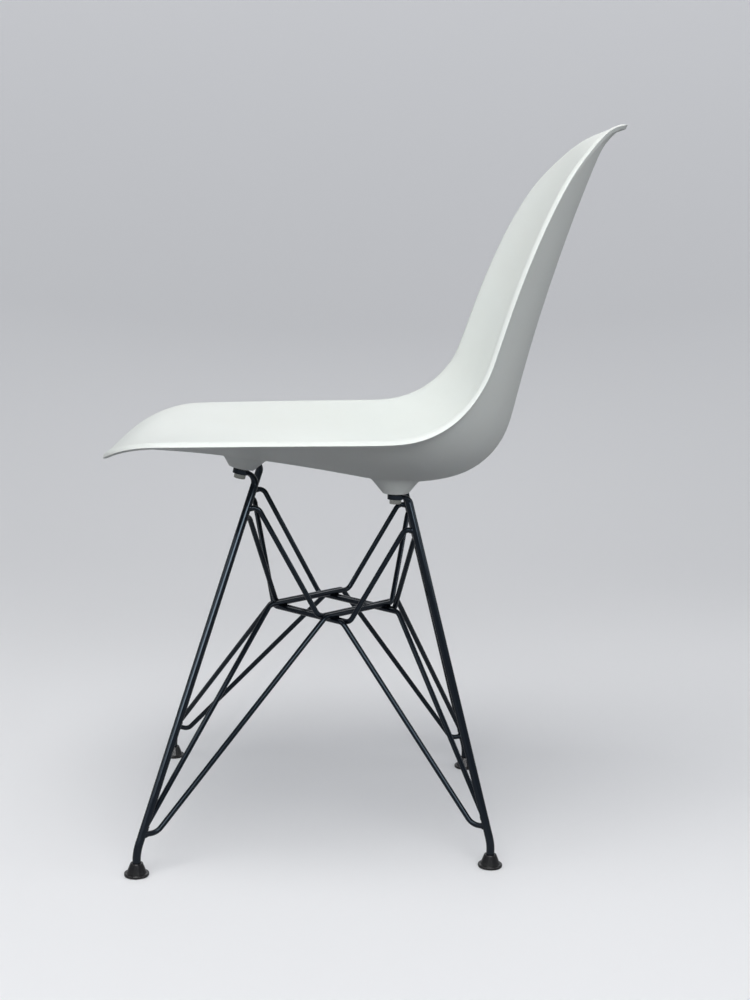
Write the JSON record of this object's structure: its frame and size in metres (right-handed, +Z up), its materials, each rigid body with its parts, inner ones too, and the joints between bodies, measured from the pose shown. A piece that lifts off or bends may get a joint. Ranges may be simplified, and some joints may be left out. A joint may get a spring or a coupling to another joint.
{
  "type": "moulded plastic shell chair",
  "caption": "Side chair with a one-piece moulded plastic seat shell, four splayed rod legs joined by a woven ring of brace wires, and push-on floor glides.",
  "frame": {"origin": "on the floor, under the middle of the chair's bounding box", "axes": "+Z up, -Y the way the sitter faces, +X the sitter's left"},
  "size_m": [0.4664, 0.5888, 0.8191],
  "materials": {
    "shell_plastic": "satin, white",
    "frame_coating": "gloss black powder coat on steel",
    "black_plastic": "satin, black",
    "zinc_steel": "zinc-plated steel",
    "insert_brass": "plain"
  },
  "bodies": {
    "root": {"seat_shell": "shell_plastic", "front_left_leg": "frame_coating", "front_right_leg": "frame_coating", "rear_left_leg": "frame_coating", "rear_right_leg": "frame_coating", "brace_left_rear_outer": "frame_coating", "brace_left_rear_inner": "frame_coating", "brace_left_front_outer": "frame_coating", "brace_left_front_inner": "frame_coating", "brace_right_rear_outer": "frame_coating", "brace_right_rear_inner": "frame_coating", "brace_right_front_outer": "frame_coating", "brace_right_front_inner": "frame_coating", "front_left_spacer": "black_plastic", "front_right_spacer": "black_plastic", "rear_left_spacer": "black_plastic", "rear_right_spacer": "black_plastic", "front_left_glide": "black_plastic", "front_right_glide": "black_plastic", "rear_left_glide": "black_plastic", "rear_right_glide": "black_plastic", "mounting_bolts": "zinc_steel", "threaded_inserts": "insert_brass"}
  },
  "joints": []
}
